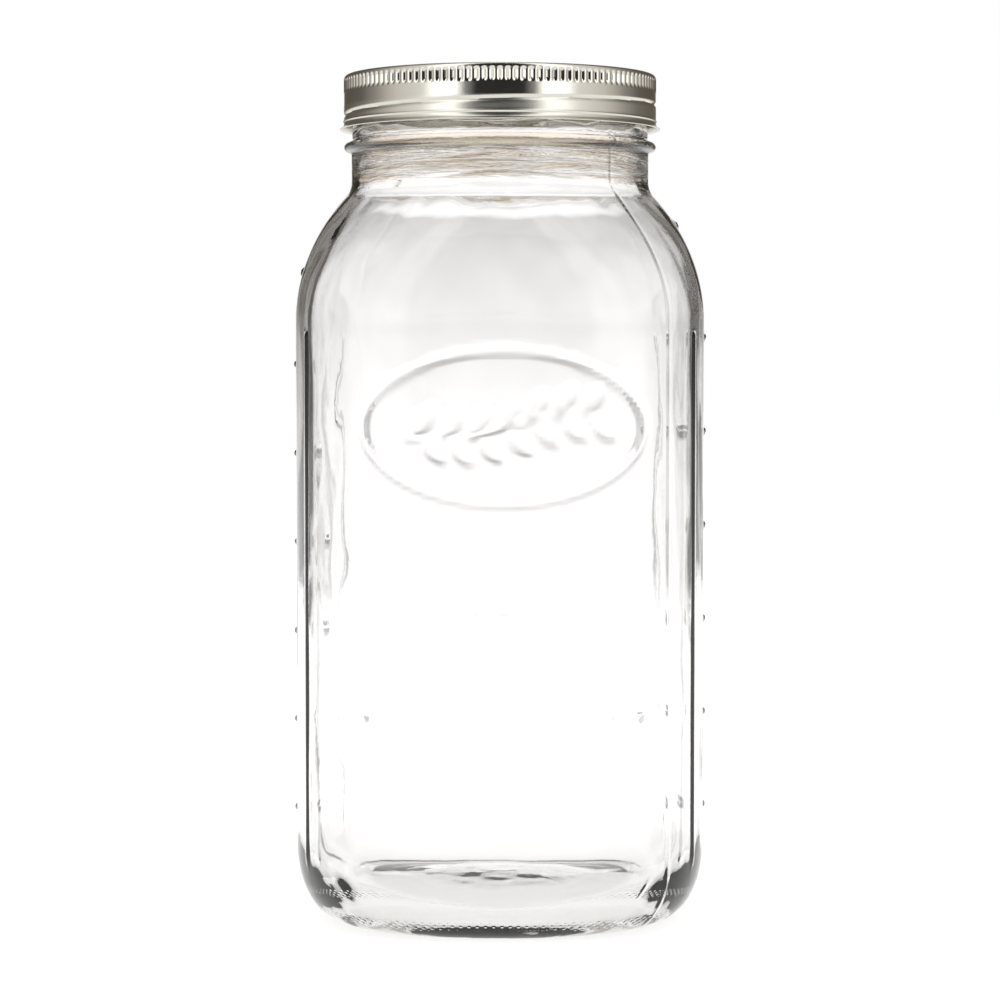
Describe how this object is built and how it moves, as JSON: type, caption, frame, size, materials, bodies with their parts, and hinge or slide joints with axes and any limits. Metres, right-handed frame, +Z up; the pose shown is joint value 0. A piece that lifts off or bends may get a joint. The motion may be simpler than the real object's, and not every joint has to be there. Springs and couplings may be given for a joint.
{
  "type": "canning jar with screw closure",
  "caption": "Tall rounded-square clear glass canning jar with measuring marks, closed by a flat metal lid held down by a knurled screw band.",
  "frame": {"origin": "centre of the jar's bearing ring, on the bench", "axes": "+Z up through the mouth, -Y is the front panel, +X is the side panel with the marks every 250 ml, -X the one with the cup marks"},
  "size_m": [0.1146, 0.1134, 0.2338],
  "materials": {
    "jar_glass": "clear polished flint glass",
    "lid_tinplate": "satin tinplate with clear lacquer",
    "band_tinplate": "satin tinplate",
    "sealing_compound": "smooth matte sealing compound"
  },
  "bodies": {
    "jar": {"glass_jar": "jar_glass"},
    "lid": {"lid_disc": "lid_tinplate", "sealing_ring": "sealing_compound"},
    "band": {"screw_band": "band_tinplate"}
  },
  "joints": [
    {"name": "closure_lift", "type": "slide", "parent": "jar", "child": "lid", "axis": [0, 0, 1], "range_m": [0, 0.0256]},
    {"name": "band_turn", "type": "hinge", "parent": "lid", "child": "band", "pos_m": [0, 0, 0.2263], "axis": [0, 0, 1], "range_deg": [0, 1440]}
  ],
  "couplings": [
    {"joint": "closure_lift", "follows": "band_turn", "m_per_rad": 0.0010106}
  ]
}
